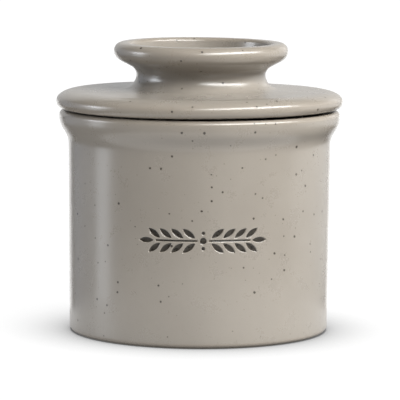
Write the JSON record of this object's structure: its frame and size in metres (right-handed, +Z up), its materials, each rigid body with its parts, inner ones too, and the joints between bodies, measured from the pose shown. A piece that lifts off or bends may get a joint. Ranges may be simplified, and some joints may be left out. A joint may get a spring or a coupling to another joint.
{
  "type": "butter crock",
  "caption": "Stoneware butter keeper: a water-holding pot and a lift-off lid with a hollow knob and a bell-shaped butter cup that hangs mouth down inside.",
  "frame": {"origin": "on the pot's axis, where its foot ring meets the table", "axes": "+Z up along the axis of the pot, the knob and the bell; the impressed sprig on the pot's wall faces -Y"},
  "size_m": [0.108, 0.108, 0.1091],
  "materials": {
    "glaze": "satin warm grey glaze with fine dark iron speckles",
    "dark_glaze": "dark brown-black glaze pooled in the impressed sprig"
  },
  "bodies": {
    "pot": {"crock_pot": "glaze", "motif_inlay": "dark_glaze"},
    "lid": {"lid_flange": "glaze", "lid_knob": "glaze", "butter_bell": "glaze"}
  },
  "joints": [
    {"name": "lid_lift", "type": "slide", "parent": "pot", "child": "lid", "axis": [0, 0, 1], "range_m": [0, 0.085]}
  ]
}
